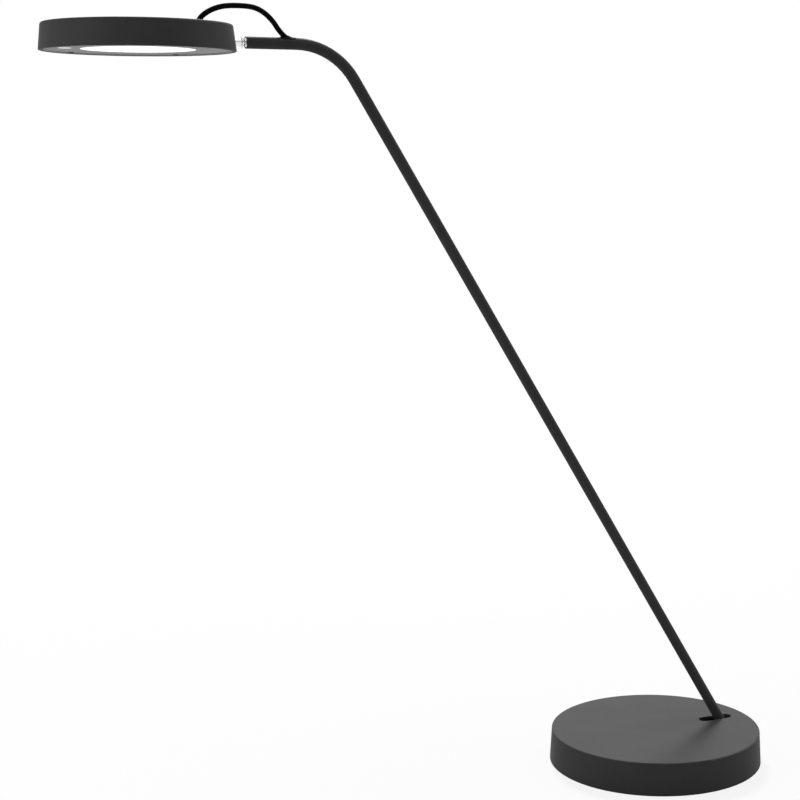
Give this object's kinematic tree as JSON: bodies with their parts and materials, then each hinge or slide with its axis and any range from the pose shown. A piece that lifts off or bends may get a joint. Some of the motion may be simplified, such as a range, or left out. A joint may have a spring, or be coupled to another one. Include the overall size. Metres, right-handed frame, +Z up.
{
  "type": "desk lamp",
  "caption": "Low desk lamp: round weighted base, thin bent arm on a friction hinge, and a flat round LED head that tilts and turns on a stem.",
  "frame": {"origin": "centre of the base's underside, on the desk", "axes": "+Z up; the arm lies in the XZ plane and leans towards -X, where the head is"},
  "size_m": [0.5426, 0.17, 0.5814],
  "materials": {
    "base_paint": "fine satin dark grey powder coat",
    "tube_paint": "satin near-black coat",
    "head_coat": "fine satin dark grey coat",
    "cast_iron": "as cast",
    "zinc_plate": "zinc plated sheet",
    "steel": "machined steel",
    "dark_steel": "black oxide screws",
    "spring_steel": "spring steel",
    "rubber_black": "matte rubber",
    "lead_jacket": "smooth black jacket",
    "chrome": "polished chrome",
    "bezel_plastic": "satin mid-grey moulding",
    "diffuser_opal": "opal, lets light through",
    "button_white": "satin white",
    "reflector_white": "white",
    "black_plastic": "black moulding",
    "acetal": "natural acetal",
    "aluminium": "milled",
    "board_white": "metal core board, white mask",
    "board_green": "glass-fibre board, green mask",
    "chip_yellow": "phosphor",
    "component_black": "moulded parts",
    "contact": "plated",
    "wire_insulation": "insulated wire"
  },
  "bodies": {
    "base": {"base_cover": "base_paint", "counterweight_ballast": "cast_iron", "base_plate": "zinc_plate", "anti_slip_pad": "rubber_black", "base_plate_screws": "dark_steel", "hinge_bracket": "zinc_plate", "bracket_screws": "dark_steel", "hinge_trunnion_screws": "steel", "hinge_friction_washers": "acetal", "hinge_disc_springs": "spring_steel", "dc_inlet": "black_plastic", "dc_inlet_contact": "contact", "dc_inlet_nut": "steel", "base_lead": "lead_jacket"},
    "arm": {"arm_knuckle": "steel", "socket_grub_screws": "dark_steel", "arm_tube": "tube_paint", "arm_lead": "lead_jacket", "lead_exit_lip": "rubber_black", "tilt_fork": "chrome", "tilt_pin": "dark_steel", "lead_loop_arm_half": "lead_jacket"},
    "stem": {"swivel_stem": "chrome", "stem_retaining_rings": "spring_steel", "stem_wave_washer": "spring_steel"},
    "head": {"head_shell": "head_coat", "head_grommet": "rubber_black", "stem_block": "aluminium", "stem_block_screws": "dark_steel", "stem_bush": "acetal", "bezel_ring": "bezel_plastic", "bezel_screws": "dark_steel", "diffuser": "diffuser_opal", "reflector_ring": "reflector_white", "led_board": "board_white", "led_chips": "chip_yellow", "heat_spreader": "aluminium", "heat_spreader_screws": "steel", "push_switch": "component_black", "switch_board": "board_green", "button_spring_dome": "spring_steel", "driver_board": "board_green", "driver_parts": "component_black", "board_screws": "steel", "head_wires": "wire_insulation", "switch_wire": "wire_insulation", "lead_loop_head_half": "lead_jacket"},
    "button": {"dimmer_button": "button_white"}
  },
  "joints": [
    {"name": "arm_tilt", "type": "hinge", "parent": "base", "child": "arm", "pos_m": [0.06868, 0, 0.012], "axis": [0, -1, 0], "range_deg": [-19, 21], "deforming": ["base_lead"]},
    {"name": "head_tilt", "type": "hinge", "parent": "arm", "child": "stem", "pos_m": [-0.3196, 0, 0.5557], "axis": [0, -1, 0], "range_deg": [-25, 25], "deforming": ["lead_loop_arm_half"]},
    {"name": "head_turn", "type": "hinge", "parent": "stem", "child": "head", "pos_m": [-0.3448, 0, 0.5557], "axis": [-1, 0, 0], "range_deg": [-90, 90], "deforming": ["lead_loop_head_half"]},
    {"name": "button_press", "type": "slide", "parent": "head", "child": "button", "axis": [0, 0, 1], "range_m": [0, 0.0005], "stiffness_N_per_m": 400, "deforming": ["button_spring_dome"]}
  ]
}
